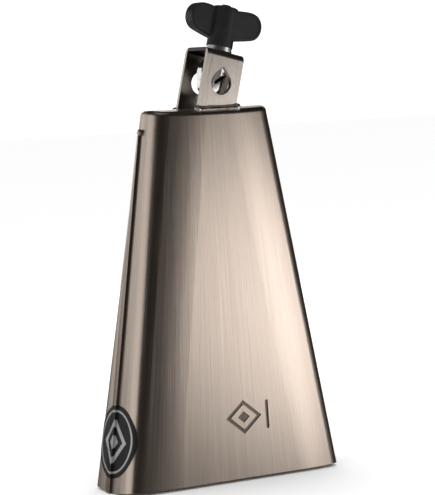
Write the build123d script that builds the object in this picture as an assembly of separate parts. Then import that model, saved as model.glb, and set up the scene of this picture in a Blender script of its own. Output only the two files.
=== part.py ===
from build123d import *
from math import asin, cos, radians, sin, sqrt
import os

# Cowbell with a bracket and a threaded eye that clamps it on a rod.
# Frame in millimetres: origin in the middle of the mouth at its lowest tips, +Z along the bell to its
# closed end, X across the wide face, -Y out of the front face. The functions below work from the faces'
# lower edges, and every piece is raised by SIDE_DIP as it is written.

# --- bell body: two bent shells lapped at the sides ---
BELL_HEIGHT = 203.0  # mouth to the crest of the closed end, an 8 in bell
MOUTH_WIDTH = 140.0
MOUTH_DEPTH = 47.0
END_WIDTH = 75.0  # the same two sizes at the closed end
END_DEPTH = 27.0
MOUTH_CORNER_R = 8.5  # outer bend radius between a face and a side
END_CORNER_R = 10.5
FACE_BLEND_R = 135.0  # beside each bend the face curves gently before it runs flat
FACE_BLEND = 9.5  # degrees that this gentle curve turns
MOUTH_SIDE_R = 85.0  # the sides bow slightly outward
END_SIDE_R = 40.0
SHEET = 1.2

LAP_LENGTH = 4.6  # how far the front shell's edge runs under the rear shell
LAP_STRIP = 6.2  # width of the raised edge strip of the rear shell
LAP_RISE = 1.3  # how far the strip's free edge stands proud, and what is left of that at its other edge
LAP_FEATHER = 0.15
LAP_END_Z = 192.0  # above this the lap is welded shut and dressed flush
LAP_Y_MOUTH = -1.8  # where the strip's free edge runs, at the mouth and at the closed end
LAP_Y_END = 2.6

# --- closed end ---
CROWN_R = 50.0  # the end cap is rolled about an axis along X
END_PLATE = 2.0
END_CAP_RIM = 3.4  # depth of the cap with its turned-down rim
END_CAP_EDGE_R = 2.8

# --- mark pressed into the front face: a plain diamond and a bar ---
MARK_DEPTH = 0.6
MARK_X, MARK_Z = 4.0, 33.5
MARK_WIDTH, MARK_HEIGHT, MARK_STROKE = 23.0, 18.6, 2.1
MARK_BAR_GAP, MARK_BAR_WIDTH = 3.8, 1.9

# --- rod bracket: a strap bent into an upside-down U, welded on with a lean towards +X ---
BRACKET_X, BRACKET_Y = 2.0, 0.8
BRACKET_FOOT_Z = 202.9
BRACKET_LEAN = 14.4
STRAP_WIDTH = 24.0
STRAP = 2.0
STRAP_OUTSIDE = 23.0  # over both ears
STRAP_TOP = 31.3  # above the foot, along the bracket's own axis
STRAP_BEND_R = 3.5
ROD_HOLE_R = 6.15
ROD_HOLE_S = 13.7
ROD_HOLE_BEVEL = 0.4
BOLT_HOLE_R = 3.5
BOLT_Y = -3.0  # the bolt stands a little towards the front ear

# --- eye bolt, M6 ---
EYE_R = 10.0
EYE_S = 18.4
EYE_THICK = 6.0
EYE_FOOT_S = 6.6  # lowest point of the eye's heavy lower end
EYE_FOOT_HALF = 8.6
EYE_FOOT_R = 5.0
EYE_VEE_S = 12.8  # bottom of the 90 degree vee
EYE_OPENING_R = 6.4
EYE_OPENING_S = 20.2
EYE_EDGE_R = 1.0
THREAD_R = 2.95
BOLT_END_S = 57.2

# --- wing nut ---
WASHER = 1.2
WASHER_R = 7.2
WASHER_BORE_R = 3.3
INSERT_FLANGE_R = 6.9
INSERT_FLANGE = 1.2
INSERT_R = 4.6
INSERT_HEIGHT = 15.5
INSERT_BORE_R = 3.0
HUB_FOOT_R = 7.3
HUB_TOP_R = 7.0
HUB_TOP_S = 56.0
HUB_TOP_BORE_R = 3.5
WING_REACH = 21.2  # from the bolt's axis to a wing's tip
WING_FRONT, WING_BACK = 6.9, 1.2  # the wings are set off to opposite sides of the axis, like a crank
WING_EDGE_R = 1.1
WING_PANEL_DEPTH = 0.35
WING_PANEL_SCALE = 0.80

# --- round label stuck over the left seam ---
LABEL_R = 19.5
LABEL_REACH = 17.5  # half width along Y, less than the radius because the side it wraps is bowed
LABEL_Z = 26.0
LABEL_THICK = 0.3

# The sides hang a little below the faces at the mouth, where the flat-cut blank was bent.
SIDE_DIP = 1.8
SIDE_DIP_REACH = 19.0


def at_height(mouth, end, z):
    """A body size that changes evenly from the mouth to the closed end."""
    return mouth + (end - mouth) * z / BELL_HEIGHT


def bend_centre(z, out):
    """Centre, radius and start angle of a corner bend at height z, and the side's bow radius."""
    w = at_height(MOUTH_WIDTH, END_WIDTH, z) / 2 + out
    d = at_height(MOUTH_DEPTH, END_DEPTH, z) / 2 + out
    r = at_height(MOUTH_CORNER_R, END_CORNER_R, z) + out
    side = at_height(MOUTH_SIDE_R, END_SIDE_R, z) + out
    soft = FACE_BLEND_R + out
    cy = d - soft + (soft - r) * cos(radians(FACE_BLEND))
    cx = w - side + sqrt((side - r) ** 2 - cy ** 2)
    return w, d, r, side, soft, cx, cy


def body_section(z, out):
    """Outline of the body at height z, grown outward by out.

    Each face is flat in its middle, curves gently towards its edges and turns into a tight bend.
    The sides are bowed.
    """
    w, d, r, side, soft, cx, cy = bend_centre(z, out)
    bx = cx - (soft - r) * sin(radians(FACE_BLEND))
    first, last = asin(cy / (side - r)), radians(90 - FACE_BLEND)

    def on(centre, radius, angle):
        return (centre[0] + radius * cos(angle), centre[1] + radius * sin(angle))

    flat_end = (bx, d)
    soft_mid = on((bx, d - soft), soft, (last + radians(90)) / 2)
    bend_end = on((cx, cy), r, last)
    bend_mid = on((cx, cy), r, (first + last) / 2)
    bend_start = on((cx, cy), r, first)

    def arc(p, q, t, sx, sy):
        return ThreePointArc(*[(sx * v[0], sy * v[1], z) for v in (p, q, t)])

    edges = []
    for sx, sy in ((1, -1), (-1, 1)):
        out_arcs = [arc(flat_end, soft_mid, bend_end, sx, sy), arc(bend_end, bend_mid, bend_start, sx, sy)]
        bow = ThreePointArc((sx * bend_start[0], sy * bend_start[1], z), (sx * w, 0, z),
                            (sx * bend_start[0], -sy * bend_start[1], z))
        in_arcs = [arc(bend_start, bend_mid, bend_end, sx, -sy), arc(bend_end, soft_mid, flat_end, sx, -sy)]
        face = Line((-sx * bx, sy * d, z), (sx * bx, sy * d, z))
        edges += [face, *out_arcs, bow, *in_arcs]
    return Wire(edges)


def half_width(z, y):
    """Half width of the body's outside at height z and at y from the middle plane."""
    w, d, r, side, soft, cx, cy = bend_centre(z, 0.0)
    if abs(y) <= side * cy / (side - r):
        return w - side + sqrt(side ** 2 - y ** 2)
    return cx + sqrt(r ** 2 - (abs(y) - cy) ** 2)


def body(out, low=0.0, high=BELL_HEIGHT + 3.0):
    """The body as a filled tapering solid, grown outward by out."""
    return Solid.make_loft([body_section(low, out), body_section(high, out)], ruled=True)


def lap_y(z, shift):
    return at_height(LAP_Y_MOUTH, LAP_Y_END, z) + shift


def slab(shift_low, shift_high):
    """The space between two planes that follow the lap line, shifted along Y. None stands for far away."""
    low, high = -10.0, BELL_HEIGHT + 10.0
    ys = []
    for shift, far in ((shift_low, -90.0), (shift_high, 90.0)):
        ys.append([far if shift is None else lap_y(z, shift) for z in (low, high)])
    profile = Polyline((ys[0][0], low), (ys[1][0], low), (ys[1][1], high), (ys[0][1], high), close=True)
    face = Plane.YZ * make_face(profile)
    return extrude(face, amount=120, both=True)


def lap_strip(grow=0.0):
    """The rear shell's raised edge strips: proud at the free edge, feathering out behind it."""
    strips = []
    for side in (-1, 1):
        sections = []
        for step in range(9):
            z = -6.0 + step * (LAP_END_Z + 6.0) / 8
            ys = [lap_y(z, -grow) + (LAP_STRIP + 2 * grow) * t for t in (0.0, 0.33, 0.67, 1.0)]
            rises = [grow + LAP_RISE + (LAP_FEATHER - LAP_RISE) * t for t in (0.0, 0.33, 0.67, 1.0)]
            top = [(side * (half_width(z, y) + rise), y, z) for y, rise in zip(ys, rises)]
            under = [(side * (half_width(z, y) - 0.5), y, z) for y in reversed(ys)]
            ends = [Line(top[-1], under[0]), Line(under[-1], top[0])]
            sections.append(Wire([Spline(*top), ends[0], Spline(*under), ends[1]]))
        strips.append(Solid.make_loft(sections, ruled=True))
    return strips


def crown(radius):
    """Everything under a roll of the given radius about the crown's axis along X."""
    centre_z = BELL_HEIGHT - CROWN_R
    roll = Pos(0, 0, centre_z) * Rot(0, 90, 0) * Cylinder(radius, 200)
    lower = Pos(0, 0, centre_z - 100) * Box(200, 2 * radius, 200)
    return roll + lower


def above_mouth():
    """Everything above the mouth's edge, which dips from the faces to the middle of each side."""
    edge = [(-60, 0), (-SIDE_DIP_REACH, 0), (0, -SIDE_DIP), (SIDE_DIP_REACH, 0), (60, 0)]
    profile = Polyline(*edge, (60, BELL_HEIGHT + 10), (-60, BELL_HEIGHT + 10), close=True)
    return extrude(Plane.YZ * make_face(profile), amount=120, both=True)


def in_bracket(shape):
    """Moves a shape from the bracket's own frame, Z up its axis, to its leaning place on the bell."""
    return Pos(BRACKET_X, BRACKET_Y, BRACKET_FOOT_Z) * Rot(0, BRACKET_LEAN, 0) * shape


def upright(sketch, y, depth):
    """A sketch drawn as (across, up) made into a plate of the given depth centred on y."""
    return extrude(Plane.XZ.offset(-y) * sketch, amount=depth / 2, both=True)


def make_shells():
    inner, outer = body(-SHEET, -9.0), body(0.0, -6.0)
    under_end = crown(CROWN_R - END_CAP_RIM) & above_mouth()
    wall = (outer - inner) & under_end
    front = wall & slab(None, LAP_LENGTH)
    rear = wall & slab(LAP_LENGTH + 0.05, None)
    for strip in lap_strip():
        rear += (strip - outer) & under_end
    front = front - make_mark_cut(outer)
    return front, rear


def make_mark_cut(outer):
    """The shallow pressed mark: a diamond ring, a smaller diamond in it, and an upright bar beside it."""
    def diamond(width, height):
        w, h = width / 2, height / 2
        return make_face(Polyline((-w, 0), (0, -h), (w, 0), (0, h), close=True))

    k = MARK_STROKE * 2.9
    hole = diamond(MARK_WIDTH - k, MARK_HEIGHT * (1 - k / MARK_WIDTH))
    ring = diamond(MARK_WIDTH, MARK_HEIGHT) - hole
    centre = diamond(MARK_WIDTH * 0.34, MARK_HEIGHT * 0.34)
    bar = Pos(MARK_WIDTH / 2 + MARK_BAR_GAP, 0) * SlotOverall(MARK_HEIGHT * 0.86, MARK_BAR_WIDTH, rotation=90)
    cut = None
    skin = outer - body(-MARK_DEPTH, -9.0)
    for sketch in (ring, centre, bar):
        tool = upright(Pos(MARK_X, MARK_Z) * sketch, -30.0, 40.0) & skin
        cut = tool if cut is None else cut + tool
    return cut


def make_end_plate():
    """The pressed cap that closes the bell: a rolled top, a well rounded edge and a short rim."""
    cap = body(0.0, 150.0) & (crown(CROWN_R) - crown(CROWN_R - END_CAP_RIM))
    cap = fillet([e for e in cap.edges() if on_roll(e, CROWN_R)], END_CAP_EDGE_R)
    return cap - (body(-END_PLATE, 150.0) & crown(CROWN_R - END_PLATE))


def on_roll(edge, radius):
    """True for an edge that lies on the roll of the given radius."""
    centre_z = BELL_HEIGHT - CROWN_R
    points = [edge.position_at(t) for t in (0.1, 0.5, 0.9)]
    return all(abs(sqrt(p.Y ** 2 + (p.Z - centre_z) ** 2) - radius) < 0.01 for p in points)


def make_seam_tack(side, shells):
    """A blob of weld at the closed end of one lap, on the outside against the strip's free edge."""
    z = LAP_END_Z - 0.5
    x = side * (at_height(MOUTH_WIDTH, END_WIDTH, z) / 2 + 0.3)
    blob = Pos(x, lap_y(z, -0.6), z) * Rot(90, 0, 0) * Sphere(2.0)
    for shell in shells:
        blob -= shell
    return blob.solids().sort_by(SortBy.VOLUME)[-1]


def make_bracket():
    """Strap bent into an upside-down U, with a teardrop rod hole in each ear and the bolt hole in its top."""
    half, inner = STRAP_OUTSIDE / 2, STRAP_OUTSIDE / 2 - STRAP
    foot = -8.0
    outer_shape = Pos(0, 0, (STRAP_TOP + foot) / 2) * Box(STRAP_WIDTH, STRAP_OUTSIDE, STRAP_TOP - foot)
    bends = [e for e in outer_shape.edges().filter_by(Axis.X) if e.center().Z > STRAP_TOP - 0.1]
    outer_shape = fillet(bends, STRAP_BEND_R)
    gap_top = STRAP_TOP - STRAP
    gap = Pos(0, 0, (gap_top + foot - 1) / 2) * Box(STRAP_WIDTH + 2, 2 * inner, gap_top - foot + 1)
    bends = [e for e in gap.edges().filter_by(Axis.X) if e.center().Z > gap_top - 0.1]
    gap = fillet(bends, STRAP_BEND_R - STRAP)
    strap = outer_shape - gap
    strap -= upright(teardrop(0.0), 0.0, 60.0)
    for side in (-1, 1):
        bevel = loft([
            Plane.XZ.offset(side * half) * teardrop(ROD_HOLE_BEVEL),
            Plane.XZ.offset(side * (half - ROD_HOLE_BEVEL)) * teardrop(0.0),
        ], ruled=True)
        strap -= bevel
    strap -= Pos(0, BOLT_Y, STRAP_TOP) * Cylinder(BOLT_HOLE_R, 20)
    return in_bracket(strap) - crown(CROWN_R)


def teardrop(grow):
    """Round hole with a 90 degree vee at its top, grown evenly by grow."""
    r = ROD_HOLE_R + grow
    k = r * sin(radians(45))
    outline = Wire([
        ThreePointArc((-k, ROD_HOLE_S + k), (0, ROD_HOLE_S - r), (k, ROD_HOLE_S + k)),
        Line((k, ROD_HOLE_S + k), (0, ROD_HOLE_S + 2 * k)),
        Line((0, ROD_HOLE_S + 2 * k), (-k, ROD_HOLE_S + k)),
    ])
    return make_face(outline)


def make_bracket_weld(side, bracket, bead_r):
    """Bead along one ear's foot, on its outer face, with a larger blob at each end."""
    y = BRACKET_Y + side * STRAP_OUTSIDE / 2
    centre_z = BELL_HEIGHT - CROWN_R
    z = centre_z + sqrt(CROWN_R ** 2 - y ** 2)
    half = STRAP_WIDTH / 2 / cos(radians(BRACKET_LEAN))
    bead = Pos(BRACKET_X, y, z) * Rot(0, 90, 0) * Cylinder(bead_r, 2 * half)
    for end in (-1, 1):
        bead += Pos(BRACKET_X + end * (half - 0.3), y, z) * Sphere(bead_r + 0.4)
    keep = Pos(BRACKET_X, y + side * 10, z) * Box(60, 20, 20)
    return (bead & keep) - bracket - crown(CROWN_R)


def make_eye_bolt():
    """Flat forged eye with a vee at the bottom of its opening, and a plain-drawn M6 shank above it."""
    ring = Pos(0, EYE_S) * Circle(EYE_R)
    foot_height = EYE_S - EYE_FOOT_S
    block = Pos(0, EYE_FOOT_S + foot_height / 2) * Rectangle(2 * EYE_FOOT_HALF, foot_height)
    low = [v for v in block.vertices() if v.Y < EYE_FOOT_S + 0.1]
    block = fillet(low, EYE_FOOT_R)
    plate = upright(ring + block, BOLT_Y, EYE_THICK)
    rims = [e for e in plate.edges() if abs(abs(e.center().Y - BOLT_Y) - EYE_THICK / 2) < 0.01]
    plate = fillet(rims, EYE_EDGE_R)
    r = EYE_OPENING_R
    opening = make_face(Wire([
        Line((0, EYE_VEE_S), (r, EYE_VEE_S + r)),
        Line((r, EYE_VEE_S + r), (r, EYE_OPENING_S)),
        ThreePointArc((r, EYE_OPENING_S), (0, EYE_OPENING_S + r), (-r, EYE_OPENING_S)),
        Line((-r, EYE_OPENING_S), (-r, EYE_VEE_S + r)),
        Line((-r, EYE_VEE_S + r), (0, EYE_VEE_S)),
    ]))
    shank_foot = EYE_OPENING_S + r + 0.6
    length = BOLT_END_S - shank_foot
    shank = Cylinder(THREAD_R, length)
    shank = chamfer(shank.edges().sort_by(Axis.Z)[-1], 0.6)
    shank = Pos(0, BOLT_Y, shank_foot + length / 2) * shank
    return in_bracket(plate - upright(opening, BOLT_Y, EYE_THICK + 2) + shank)


def ring_part(low, high, r_low, r_high=None):
    """A round or tapering solid about the bolt's axis between two heights."""
    height = high - low
    if r_high is None:
        shape = Cylinder(r_low, height)
    else:
        shape = Cone(r_low, r_high, height)
    return Pos(0, BOLT_Y, low + height / 2) * shape


def make_washer():
    top = STRAP_TOP + WASHER
    return in_bracket(ring_part(STRAP_TOP, top, WASHER_R) - ring_part(STRAP_TOP - 1, top + 1, WASHER_BORE_R))


def insert_body():
    foot = STRAP_TOP + WASHER
    flange = ring_part(foot, foot + INSERT_FLANGE, INSERT_FLANGE_R)
    return flange + ring_part(foot, foot + INSERT_HEIGHT, INSERT_R)


def make_insert():
    """Flanged metal bush moulded into the wing nut; its bore is the nut's thread."""
    foot = STRAP_TOP + WASHER
    return in_bracket(insert_body() - ring_part(foot - 1, foot + INSERT_HEIGHT + 1, INSERT_BORE_R))


def wing_outline(scale=1.0):
    """One wing as (across, up): nearly level top, rounded tip, rising underside.

    Scaling shrinks it about its middle.
    """
    tip = WING_REACH
    half = [(0.0, 55.0), (7.0, 55.2), (13.5, 55.7), (tip - 3.5, 54.6), (tip - 0.7, 51.4), (tip, 48.2),
            (tip - 0.8, 44.4), (tip - 3.6, 41.3), (13.5, 39.9), (7.0, 38.4), (0.0, 37.6)]
    mid = (0.62 * tip, 47.6)
    points = [(mid[0] + scale * (x - mid[0]), mid[1] + scale * (s - mid[1])) for x, s in half]
    return make_face(Wire([Spline(*points), Line(points[-1], points[0])]))


def make_grip():
    """Black plastic wing nut moulded over the insert: round hub and two offset wings."""
    foot = STRAP_TOP + WASHER
    thick = WING_FRONT + WING_BACK
    wing = upright(wing_outline(), BOLT_Y - (WING_FRONT - WING_BACK) / 2, thick)
    middle = BOLT_Y - (WING_FRONT - WING_BACK) / 2
    rims = [e for e in wing.edges() if abs(abs(e.center().Y - middle) - thick / 2) < 0.01 and e.length > 8]
    rims = [e for e in rims if e.center().X > 1.0]
    wing = fillet(rims, WING_EDGE_R)
    wing -= upright(wing_outline(WING_PANEL_SCALE), BOLT_Y - WING_FRONT, 2 * WING_PANEL_DEPTH)
    hub = ring_part(foot + INSERT_FLANGE, HUB_TOP_S, HUB_FOOT_R, HUB_TOP_R)
    hub = fillet(hub.edges().sort_by(Axis.Z)[-1], 1.0)
    other = Pos(0, BOLT_Y, 0) * Rot(0, 0, 180) * Pos(0, -BOLT_Y, 0) * wing
    grip = hub + wing + other
    grip -= insert_body()
    grip -= ring_part(foot, HUB_TOP_S + 1, HUB_TOP_BORE_R)
    return in_bracket(grip)


def make_label():
    """Thin round sticker that follows the left side and steps over the raised lap strip."""
    y = lap_y(LABEL_Z, 0.3)
    disc = extrude(Plane.YZ * (Pos(y, LABEL_Z) * Ellipse(LABEL_REACH, LABEL_R)), amount=-95)
    strip, over_strip = lap_strip()[0], lap_strip(LABEL_THICK)[0]
    on_side = ((body(LABEL_THICK) - body(0.0)) & disc) - strip
    on_strip = (over_strip & disc) - strip - body(0.0)
    return on_side + on_strip


front_shell, rear_shell = make_shells()
bracket = make_bracket()
PARTS = {
    "front_shell": front_shell,
    "rear_shell": rear_shell,
    "end_plate": make_end_plate(),
    "left_seam_tack": make_seam_tack(-1, (front_shell, rear_shell)),
    "right_seam_tack": make_seam_tack(1, (front_shell, rear_shell)),
    "rod_bracket": bracket,
    "bracket_weld_front": make_bracket_weld(-1, bracket, 2.2),
    "bracket_weld_rear": make_bracket_weld(1, bracket, 1.7),
    "eye_bolt": make_eye_bolt(),
    "thrust_washer": make_washer(),
    "nut_insert": make_insert(),
    "wing_nut_grip": make_grip(),
    "side_label": make_label(),
}

os.makedirs("parts", exist_ok=True)
for name, shape in PARTS.items():
    solids = shape.solids()
    solid = solids[0] if len(solids) == 1 else Compound(children=list(solids))
    export_step(Pos(0, 0, SIDE_DIP) * solid, f"parts/{name}.step")
    size = shape.bounding_box().size
    print(f"{name}: {len(solids)} solid, {size.X:.1f} x {size.Y:.1f} x {size.Z:.1f} mm")
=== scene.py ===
from math import cos, pi, radians, sin

import bmesh
import bpy
from mathutils import Matrix, Vector, noise


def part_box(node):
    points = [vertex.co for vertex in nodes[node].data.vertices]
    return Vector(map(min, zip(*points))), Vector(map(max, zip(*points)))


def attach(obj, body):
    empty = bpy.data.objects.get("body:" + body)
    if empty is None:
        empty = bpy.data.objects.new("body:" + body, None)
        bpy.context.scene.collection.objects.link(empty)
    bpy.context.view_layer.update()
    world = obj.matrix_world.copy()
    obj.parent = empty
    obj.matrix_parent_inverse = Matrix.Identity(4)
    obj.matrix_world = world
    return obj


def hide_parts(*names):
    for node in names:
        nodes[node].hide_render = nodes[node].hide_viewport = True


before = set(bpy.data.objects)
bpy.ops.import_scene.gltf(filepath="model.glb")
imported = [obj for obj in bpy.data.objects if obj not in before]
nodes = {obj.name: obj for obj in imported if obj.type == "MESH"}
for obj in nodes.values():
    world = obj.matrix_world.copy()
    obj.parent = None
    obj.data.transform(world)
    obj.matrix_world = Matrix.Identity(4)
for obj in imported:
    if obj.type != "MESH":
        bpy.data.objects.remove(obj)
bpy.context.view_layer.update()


# ---------------------------------------------------------------------------------------------
# The bell: two troughs of 1.2 mm sheet steel, lapped at the sides, and the rolled end plate.
# They are brushed by hand along the bell after welding, then lacquered.
# ---------------------------------------------------------------------------------------------
class Wire:
    """A socket of a material that can stand in a sum, so shader maths reads as arithmetic."""

    def __init__(self, finish, socket):
        self.finish, self.socket = finish, socket

    def _maths(self, operation, first, second=None, clamp=False):
        settings = {"operation": operation, "use_clamp": clamp}
        inputs = {0: first} if second is None else {0: first, 1: second}
        return self.finish.add("ShaderNodeMath", settings, inputs)

    def __add__(self, other):
        return self._maths("ADD", self, other)

    def __sub__(self, other):
        return self._maths("SUBTRACT", self, other)

    def __rsub__(self, other):
        return self._maths("SUBTRACT", other, self)

    def __mul__(self, other):
        return self._maths("MULTIPLY", self, other)

    def __truediv__(self, other):
        return self._maths("DIVIDE", self, other)

    def __abs__(self):
        return self._maths("ABSOLUTE", self)

    def power(self, exponent):
        return self._maths("POWER", self, exponent)

    def below(self, limit, softness):
        """1 where the value is under the limit, 0 above it, with a soft edge."""
        return self._maths("ADD", (limit - self) / softness, 0.5, clamp=True)

    __radd__ = __add__
    __rmul__ = __mul__


class Finish:
    """One procedural finish: a Principled shader and the nodes that feed it."""

    def __init__(self, name, **constants):
        self.material = bpy.data.materials.new(name)
        self.material.use_nodes = True
        self.tree = self.material.node_tree
        self.shader = self.tree.nodes["Principled BSDF"]
        for key, value in constants.items():
            self.shader.inputs[key.replace("_", " ")].default_value = value
        self.place = self.add("ShaderNodeTexCoord", out="Object")

    def add(self, kind, settings=(), inputs=(), out=0):
        node = self.tree.nodes.new(kind)
        for key, value in dict(settings).items():
            setattr(node, key, value)
        for key, value in dict(inputs).items():
            if isinstance(value, Wire):
                self.tree.links.new(value.socket, node.inputs[key])
            else:
                node.inputs[key].default_value = value
        return Wire(self, node.outputs[out])

    def apart(self, vector):
        """The three coordinates of a vector, as Wires."""
        first = self.add("ShaderNodeSeparateXYZ", {}, {0: vector})
        return [Wire(self, socket) for socket in first.socket.node.outputs]

    def feed(self, **links):
        for key, wire in links.items():
            self.tree.links.new(wire.socket, self.shader.inputs[key.replace("_", " ")])

    def noise(self, place, detail=2.0, roughness=0.5):
        inputs = {"Vector": place, "Scale": 1.0, "Detail": detail, "Roughness": roughness}
        return self.add("ShaderNodeTexNoise", {"noise_dimensions": "3D"}, inputs, out="Fac")

    def stretched(self, place, x, y, z):
        return self.add("ShaderNodeMapping", {}, {"Vector": place, "Scale": (x, y, z)})

    def blend(self, factor, first, second):
        """Mixes two colours, each a triple or a Wire."""
        colours = {k: c if isinstance(c, Wire) else (*c, 1.0) for k, c in ((6, first), (7, second))}
        settings = {"data_type": "RGBA"}
        return self.add("ShaderNodeMix", settings, {0: factor, **colours}, out=2)

    def relief(self, height, depth):
        return self.add("ShaderNodeBump", {}, {"Height": height, "Distance": depth, "Strength": 1.0})


def along_the_bell(finish):
    """Object coordinates with the taper taken out, so that streaks follow the bell's faces."""
    x, y, z = finish.apart(finish.place)
    across = x / (1.0 - z * WIDTH_TAPER)
    deep = y / (1.0 - z * DEPTH_TAPER)
    return finish.add("ShaderNodeCombineXYZ", {}, {0: across, 1: deep, 2: z})


def brushed_steel(name, light, dark, rough):
    """Hairlines, wider streaks and faint patches, and a dark floor in the pressed mark."""
    steel = Finish(name, Metallic=1.0)
    place = along_the_bell(steel)
    hairlines = steel.noise(steel.stretched(place, 1300, 1300, 14), 3.0, 0.6)
    streaks = steel.noise(steel.stretched(place, 420, 420, 5), 3.0, 0.55)
    patches = steel.noise(steel.stretched(place, 26, 26, 12), 3.0, 0.5)
    x, y, z = steel.apart(steel.place)
    sunk = y - z * FACE_SLOPE + (FACE_AT_MOUTH + FACE_FOOT * FACE_SLOPE)
    beside = abs(x - MARK_MIDDLE[0]).below(MARK_HALF_WIDTH, 0.001)
    level = abs(z - MARK_MIDDLE[1]).below(MARK_HALF_HEIGHT, 0.001)
    pressed = (beside * level - sunk.below(0.00025, 0.0002)) * sunk.below(0.0009, 0.0001)
    recess = tuple(0.28 * c for c in dark)
    shade = hairlines * 1.5 + streaks * 0.6 + patches * 0.3 - 1.15
    steel.feed(
        Base_Color=steel.blend(pressed, steel.blend(shade, dark, light), recess),
        Roughness=hairlines * 0.14 + streaks * 0.08 + (rough - 0.11),
        Normal=steel.relief(hairlines + streaks * 0.6, 0.00004),
    )
    return steel.material


def wear(node, material):
    """Gives a CAD node's mesh its finish."""
    mesh = nodes[node].data
    mesh.materials.clear()
    mesh.materials.append(material)


WIDTH_TAPER, DEPTH_TAPER = 2.287, 2.096  # share of the mouth's width and depth lost per metre of height
FACE_AT_MOUTH, FACE_SLOPE = 0.0235, 10.0 / 203.0  # the front face's distance from the middle, and its lean
FACE_FOOT = 0.0018  # height of the face's lower edge above the mouth's lowest tips
MARK_MIDDLE, MARK_HALF_WIDTH, MARK_HALF_HEIGHT = (0.0085, 0.0353), 0.024, 0.0155
bell_steel = brushed_steel("brushed_bell_steel", (0.70, 0.60, 0.525), (0.48, 0.40, 0.34), 0.33)
for node in ("front_shell", "rear_shell", "end_plate"):
    wear(node, bell_steel)


# ---------------------------------------------------------------------------------------------
# The weld blobs that lock each lap at the closed end, dressed down by hand and left lumpy.
# ---------------------------------------------------------------------------------------------
def as_object(name, form, material):
    """Turns a bmesh into a smooth-shaded object with its place in its mesh."""
    bmesh.ops.remove_doubles(form, verts=form.verts, dist=1e-7)
    bmesh.ops.recalc_face_normals(form, faces=form.faces)
    mesh = bpy.data.meshes.new(name)
    form.to_mesh(mesh)
    form.free()
    mesh.materials.append(material)
    mesh.shade_smooth()
    made = bpy.data.objects.new(name, mesh)
    bpy.context.scene.collection.objects.link(made)
    return made


def lump(name, middle, radii, unevenness, material):
    form = bmesh.new()
    bmesh.ops.create_icosphere(form, subdivisions=4, radius=1.0)
    for v in form.verts:
        swell = 1.0 + unevenness * noise.noise(v.co * 1.7 + Vector(middle) * 900)
        v.co = Vector(middle) + Vector([c * r * swell for c, r in zip(v.co, radii)])
    return as_object(name, form, material)


for node in ("left_seam_tack", "right_seam_tack"):
    low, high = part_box(node)
    radii = [0.47 * (h - l) for l, h in zip(low, high)]
    tack = lump(node + "_blob", (low + high) / 2, radii, 0.25, bell_steel)
    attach(tack, "bell")
    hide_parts(node)


# ---------------------------------------------------------------------------------------------
# The rod bracket: a 24 by 2 mm steel strap bent into an upside-down U. Its outside is brushed
# along its own length; its inner faces are painted near-black as painted shade between the ears. It leans to
# one side.
# ---------------------------------------------------------------------------------------------
LEAN = radians(14.4)
BRACKET = Matrix.Translation((0.002, 0.0008, 0.2047)) @ Matrix.Rotation(LEAN, 4, "Y")
EAR_MIDDLE, EAR_INSIDE = 0.0008, 0.0096


def along_the_strap(finish):
    turned = {"Vector": finish.place, "Rotation": (0.0, -LEAN, 0.0)}
    return finish.add("ShaderNodeMapping", {}, turned)


def strap_steel(name):
    strap = Finish(name, Metallic=1.0)
    place = along_the_strap(strap)
    off_middle = abs(strap.apart(strap.place)[1] - EAR_MIDDLE)
    # Mask of the ears' inner faces, which get a near-black colour below as painted shade.
    inner_faces_painted_shade = off_middle.below(EAR_INSIDE, 0.0004)
    hairlines = strap.noise(strap.stretched(place, 2300, 2300, 60), 3.0, 0.6)
    streaks = strap.noise(strap.stretched(place, 420, 420, 20), 3.0, 0.55)
    shade = hairlines * 0.9 + streaks * 0.6 - 0.4
    outside_colour = strap.blend(shade, (0.44, 0.39, 0.345), (0.66, 0.59, 0.525))
    strap.feed(
        # Painted shade: the ears' inner faces get a near-black colour for the shade between them.
        Base_Color=strap.blend(inner_faces_painted_shade, outside_colour, (0.045, 0.042, 0.040)),
        Roughness=hairlines * 0.14 + streaks * 0.06 + 0.2 - inner_faces_painted_shade * 0.1,
        Normal=strap.relief(hairlines, 0.00003),
    )
    return strap.material


wear("rod_bracket", strap_steel("brushed_strap_steel"))


# ---------------------------------------------------------------------------------------------
# The two weld beads along the ears' feet: a row of frozen ripples with a blob where each run
# was started and stopped.
# ---------------------------------------------------------------------------------------------
def weld_metal(name):
    bead = Finish(name, Metallic=1.0)
    skin = bead.noise(bead.stretched(bead.place, 800, 800, 800), 3.0, 0.6)
    oxide = bead.noise(bead.stretched(bead.place, 240, 240, 240), 2.0, 0.5)
    bead.feed(
        Base_Color=bead.blend(oxide * 1.8 - 0.4, (0.34, 0.30, 0.26), (0.86, 0.82, 0.77)),
        Roughness=skin * 0.2 + 0.12,
        Normal=bead.relief(skin, 0.0001),
    )
    return bead.material


as_welded = weld_metal("as_welded_steel")


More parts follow.
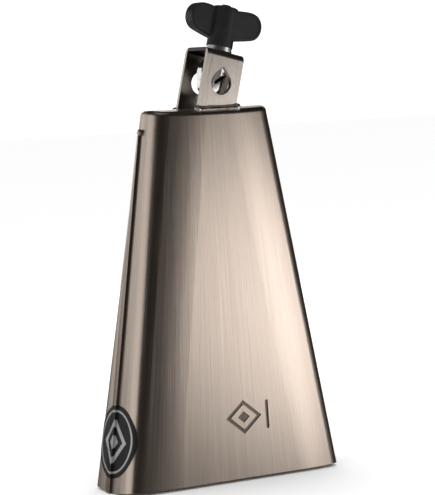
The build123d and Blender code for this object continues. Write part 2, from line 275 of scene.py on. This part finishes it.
def ripple_tree(material):
    """Overlapping flattened balls along a straight line, each a little different in size."""
    tree = bpy.data.node_groups.new("weld_ripples", "GeometryNodeTree")
    sockets = {}
    for name, kind in (("Start", "Vector"), ("Step", "Vector"), ("Count", "Int"),
                       ("Radius", "Float"), ("Seed", "Int")):
        made = tree.interface.new_socket(name, in_out="INPUT", socket_type="NodeSocket" + kind)
        sockets[name] = made.identifier
    tree.interface.new_socket("Bead", in_out="OUTPUT", socket_type="NodeSocketGeometry")
    given = tree.nodes.new("NodeGroupInput").outputs

    def add(kind, inputs, **settings):
        node = tree.nodes.new(kind)
        for key, value in settings.items():
            setattr(node, key, value)
        for key, value in inputs.items():
            if isinstance(value, bpy.types.NodeSocket):
                tree.links.new(value, node.inputs[key])
            else:
                node.inputs[key].default_value = value
        return node.outputs

    row = add("GeometryNodeMeshLine", {"Count": given["Count"], "Start Location": given["Start"],
                                       "Offset": given["Step"]})
    ball = add("GeometryNodeMeshUVSphere", {"Segments": 20, "Rings": 12, "Radius": given["Radius"]})
    flat = add("GeometryNodeTransform", {"Geometry": ball[0], "Scale": (0.62, 1.0, 1.0)})
    size = add("FunctionNodeRandomValue", {2: 0.9, 3: 1.12, "Seed": given["Seed"]}, data_type="FLOAT")
    beads = add("GeometryNodeInstanceOnPoints", {"Points": row[0], "Instance": flat[0], "Scale": size[1]})
    solid = add("GeometryNodeRealizeInstances", {"Geometry": beads[0]})
    smooth = add("GeometryNodeSetShadeSmooth", {"Geometry": solid[0]})
    done = add("GeometryNodeSetMaterial", {"Geometry": smooth[0], "Material": material})
    tree.links.new(done[0], tree.nodes.new("NodeGroupOutput").inputs[0])
    return tree, sockets


ripples, ripple_inputs = ripple_tree(as_welded)


def grown(name, tree, inputs):
    """Runs a Geometry Nodes tree once and keeps its result as a plain mesh."""
    host = bpy.data.objects.new(name, bpy.data.meshes.new(name + "_seed"))
    modifier = host.modifiers.new("grow", "NODES")
    modifier.node_group = tree
    for identifier, value in inputs.items():
        modifier[identifier] = value
    bpy.context.scene.collection.objects.link(host)
    result = host.evaluated_get(bpy.context.evaluated_depsgraph_get())
    mesh = bpy.data.meshes.new_from_object(result)
    host.modifiers.clear()
    host.data = mesh
    return host


for node, away, radius, seed in (("bracket_weld_front", -1, 0.0018, 4), ("bracket_weld_rear", 1, 0.0015, 9)):
    low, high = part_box(node)
    y = (high.y if away < 0 else low.y) + away * 0.4 * radius
    z = (low.z + high.z) / 2 - 0.0004
    count = 23
    step = (high.x - low.x - 2 * radius) / (count - 1)
    bead = grown(node + "_bead", ripples, {
        ripple_inputs["Start"]: (low.x + radius, y, z), ripple_inputs["Step"]: (step, 0.0, 0.0),
        ripple_inputs["Count"]: count, ripple_inputs["Radius"]: radius, ripple_inputs["Seed"]: seed})
    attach(bead, "bell")
    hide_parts(node)
    for side, x in (("left", low.x + radius * 1.15), ("right", high.x - radius * 1.15)):
        blob = lump(f"{node}_{side}_stop", (x, y, z + 0.0002), (radius * 1.12,) * 3, 0.2, as_welded)
        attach(blob, "bell")


# ---------------------------------------------------------------------------------------------
# The eye bolt: a flat forged eye with an M6 shank, nickel plated and bright. Its thread is
# rolled, 1 mm pitch, and runs out just above the strap.
# ---------------------------------------------------------------------------------------------
def plating(name, colour, rough):
    bright = Finish(name, Metallic=1.0)
    dulling = bright.noise(bright.stretched(bright.place, 420, 420, 420), 3.0, 0.6)
    bright.feed(
        Base_Color=bright.blend(dulling, colour, tuple(0.86 * c for c in colour)),
        Roughness=dulling * 0.10 + rough,
        Normal=bright.relief(dulling, 0.00001),
    )
    return bright.material


nickel = plating("bright_nickel", (0.80, 0.79, 0.77), 0.06)
BOLT_Y = -0.003
PITCH, CREST_R, ROOT_R = 0.001, 0.00295, 0.00243
NECK_FOOT, THREAD_FOOT, THREAD_END = 0.0272, 0.0306, 0.0572
ROUND, STEPS = 40, 8  # points round the shank, and rings in each turn of the thread
EYE_TOP = 0.0290  # above this the plain shank is taken off and the threaded one stands in


def thread_radius(height, angle):
    """Radius of a right-hand thread with flat crests, plain below its run-out, chamfered at its end."""
    phase = (height / PITCH - angle / (2 * pi)) % 1.0
    ridge = min(1.0, max(0.0, 1.15 - abs(2 * phase - 1) * 1.3))
    start = min(1.0, max(0.0, (height - THREAD_FOOT) / PITCH))
    radius = CREST_R - (CREST_R - ROOT_R) * start * (1.0 - ridge)
    return min(radius, ROOT_R + max(0.0, THREAD_END - height))


def screw_shank(form):
    rings = int(round((THREAD_END - NECK_FOOT) / PITCH * STEPS))
    rows = []
    for i in range(rings + 1):
        height = NECK_FOOT + (THREAD_END - NECK_FOOT) * i / rings
        row = []
        for j in range(ROUND):
            angle = 2 * pi * j / ROUND
            r = thread_radius(height, angle)
            place = Vector((r * cos(angle), BOLT_Y + r * sin(angle), height))
            row.append(form.verts.new(BRACKET @ place))
        rows.append(row)
    for lower, upper in zip(rows, rows[1:]):
        for j in range(ROUND):
            k = (j + 1) % ROUND
            form.faces.new((lower[j], lower[k], upper[k], upper[j]))
    form.faces.new(rows[-1])
    form.faces.new(rows[0][::-1])


forged = bmesh.new()
forged.from_mesh(nodes["eye_bolt"].data)
bmesh.ops.remove_doubles(forged, verts=forged.verts, dist=1e-7)
to_bracket = BRACKET.inverted()
shank_verts = [v for v in forged.verts if (to_bracket @ v.co).z > EYE_TOP]
bmesh.ops.delete(forged, geom=shank_verts, context="VERTS")
eye_mesh = bpy.data.meshes.new("forged_eye")
forged.to_mesh(eye_mesh)
forged.free()
eye_mesh.materials.append(nickel)
eye_mesh.shade_smooth()
eye_mesh.set_sharp_from_angle(angle=radians(35))
eye = bpy.data.objects.new("forged_eye", eye_mesh)
bpy.context.scene.collection.objects.link(eye)
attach(eye, "eye")
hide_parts("eye_bolt")
shank = bmesh.new()
screw_shank(shank)
screw = as_object("threaded_shank", shank, nickel)
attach(screw, "eye")


# ---------------------------------------------------------------------------------------------
# The washer the nut turns on, and the flanged steel bush that carries the nut's thread. Both are
# nickel plated like the eye bolt but duller, and the bush is held by the nylon moulded round it.
# ---------------------------------------------------------------------------------------------
dull_nickel = plating("dull_nickel", (0.86, 0.85, 0.83), 0.34)
for node in ("thrust_washer", "nut_insert"):
    wear(node, dull_nickel)


# ---------------------------------------------------------------------------------------------
# The wing nut's grip: black glass-filled nylon with a fine texture. It is moulded over the bush,
# so the two turn as one.
# ---------------------------------------------------------------------------------------------
nylon = Finish("black_nylon", Specular_IOR_Level=0.3)
sparks = nylon.noise(nylon.stretched(nylon.place, 1900, 1900, 1900), 2.0, 0.5)
handling = nylon.noise(nylon.stretched(nylon.place, 120, 120, 120), 3.0, 0.5)
nylon.feed(
    Base_Color=nylon.blend(handling, (0.006, 0.006, 0.007), (0.015, 0.015, 0.017)),
    Roughness=handling * 0.12 + sparks * 0.08 + 0.36,
    Normal=nylon.relief(sparks, 0.00006),
)
wear("wing_nut_grip", nylon.material)


# ---------------------------------------------------------------------------------------------
# The round label: a thin black film with a silver print of a ring and diamonds. It is stuck
# round the left side, over the lap's raised strip.
# ---------------------------------------------------------------------------------------------
film = Finish("label_film", Specular_IOR_Level=0.2)
LABEL_REACH, LABEL_R = 0.0175, 0.0195
LABEL_MIDDLE = (-0.00094, 0.0278)
_, film_y, film_z = film.apart(film.place)
sideways = (film_y - LABEL_MIDDLE[0]) / LABEL_REACH
upward = (film_z - LABEL_MIDDLE[1]) / LABEL_R
from_middle = (sideways * sideways + upward * upward).power(0.5)
diamond = abs(sideways) + abs(upward)
edge = 0.03
ring = from_middle.below(0.87, edge) - from_middle.below(0.82, edge)
mark = diamond.below(0.62, edge) - diamond.below(0.44, edge) + diamond.below(0.2, edge)
grain = film.noise(film.stretched(film.place, 900, 900, 900), 2.0, 0.5)
silver = (ring + mark) * (grain * 0.3 + 0.8)
film.feed(
    Base_Color=film.blend(silver, (0.007, 0.007, 0.008), (0.36, 0.36, 0.35)),
    Roughness=grain * 0.12 + 0.30,
    Metallic=silver * 0.6,
    Normal=film.relief(grain, 0.00001),
)
wear("side_label", film.material)


# ---------------------------------------------------------------------------------------------
# The studio: a pale floor, large soft lights, and the camera low at the front left. White walls
# light the floor and stand behind the bell, while polished metal reflects a dim room.
# ---------------------------------------------------------------------------------------------
ground = bpy.data.meshes.new("floor")
ground.from_pydata([(-6, -6, 0), (6, -6, 0), (6, 6, 0), (-6, 6, 0)], [], [(0, 1, 2, 3)])
floor = bpy.data.objects.new("floor", ground)
bpy.context.scene.collection.objects.link(floor)
paper = bpy.data.materials.new("pale_paper")
paper.use_nodes = True
paper.node_tree.nodes["Principled BSDF"].inputs["Base Color"].default_value = (0.86, 0.86, 0.86, 1)
paper.node_tree.nodes["Principled BSDF"].inputs["Roughness"].default_value = 0.9
ground.materials.append(paper)
floor.visible_glossy = False  # the room's own glow below the horizon stands in for it

world = bpy.data.worlds.new("studio")
bpy.context.scene.world = world
world.use_nodes = True
world.cycles.sampling_method = "NONE"
tree = world.node_tree
paper_walls = tree.nodes["Background"]
paper_walls.inputs["Color"].default_value = (1.25, 1.25, 1.25, 1)
room = tree.nodes.new("ShaderNodeBackground")
heading = tree.nodes.new("ShaderNodeTexCoord")
height = tree.nodes.new("ShaderNodeSeparateXYZ")
tree.links.new(heading.outputs["Generated"], height.inputs[0])
downward = tree.nodes.new("ShaderNodeMapRange")
downward.interpolation_type = "SMOOTHSTEP"
tree.links.new(height.outputs[2], downward.inputs["Value"])
downward.inputs["From Min"].default_value, downward.inputs["From Max"].default_value = -0.17, -0.48
room_colour = tree.nodes.new("ShaderNodeMix")
room_colour.data_type = "RGBA"
tree.links.new(downward.outputs[0], room_colour.inputs[0])
room_colour.inputs[6].default_value = (0.014, 0.013, 0.012, 1)
room_colour.inputs[7].default_value = (0.42, 0.40, 0.38, 1)
tree.links.new(room_colour.outputs[2], room.inputs["Color"])
sort = tree.nodes.new("ShaderNodeMixShader")
ray = tree.nodes.new("ShaderNodeLightPath")
tree.links.new(ray.outputs["Is Glossy Ray"], sort.inputs[0])
tree.links.new(paper_walls.outputs[0], sort.inputs[1])
tree.links.new(room.outputs[0], sort.inputs[2])
tree.links.new(sort.outputs[0], tree.nodes["World Output"].inputs["Surface"])


def softbox(name, place, aim, width, height, glow):
    """An elliptical soft light of the given surface brightness, turned to face aim."""
    lamp = bpy.data.lights.new(name, "AREA")
    lamp.shape, lamp.size, lamp.size_y = "ELLIPSE", width, height
    lamp.energy = glow * pi * (pi * width * height / 4)
    stand = bpy.data.objects.new(name, lamp)
    stand.location = place
    stand.rotation_euler = (Vector(aim) - Vector(place)).to_track_quat("-Z", "Y").to_euler()
    stand.visible_camera = False
    bpy.context.scene.collection.objects.link(stand)


MIDDLE = (0.0, 0.0, 0.11)
softbox("front_right_light", (0.395, -0.428, 0.092), (0.03, -0.02, 0.090), 0.32, 0.26, 3.35)
softbox("left_light", (-0.93, 0.22, 0.20), MIDDLE, 1.15, 0.8, 1.15)
softbox("rear_left_light", (-0.45, 0.93, 0.30), MIDDLE, 0.6, 0.7, 1.1)
softbox("rear_light", (0.36, 1.02, 0.24), MIDDLE, 0.75, 0.7, 1.3)
softbox("top_light", (-0.3, -0.2, 1.4), MIDDLE, 1.2, 1.2, 0.3)
softbox("rear_right_light", (0.62, 0.90, 0.50), (0.0, 0.0, 0.2), 0.9, 0.16, 2.0)

AZIMUTH, ELEVATION, ROLL = 0.5583, 0.09246, -0.04211  # radians, from straight in front
AIM, DISTANCE = Vector((0, 0, 0.1118)), 1.2566
back = Vector((-sin(AZIMUTH) * cos(ELEVATION), -cos(AZIMUTH) * cos(ELEVATION), sin(ELEVATION)))
right = (-back).cross(Vector((0, 0, 1))).normalized()
up = back.cross(right)
sideways = right * cos(ROLL) + up * sin(ROLL)
upward = up * cos(ROLL) - right * sin(ROLL)
camera = bpy.data.objects.new("camera", bpy.data.cameras.new("camera"))
camera.matrix_world = Matrix.Translation(AIM + back * DISTANCE) @ Matrix(
    (sideways, upward, back)).transposed().to_4x4()
camera.data.sensor_width = 36.0
camera.data.lens = 165.54
camera.data.shift_x, camera.data.shift_y = 0.01398, 0.0585
camera.data.clip_start, camera.data.clip_end = 0.05, 20.0
bpy.context.scene.collection.objects.link(camera)
bpy.context.scene.camera = camera
bpy.context.scene.view_settings.view_transform = "Standard"
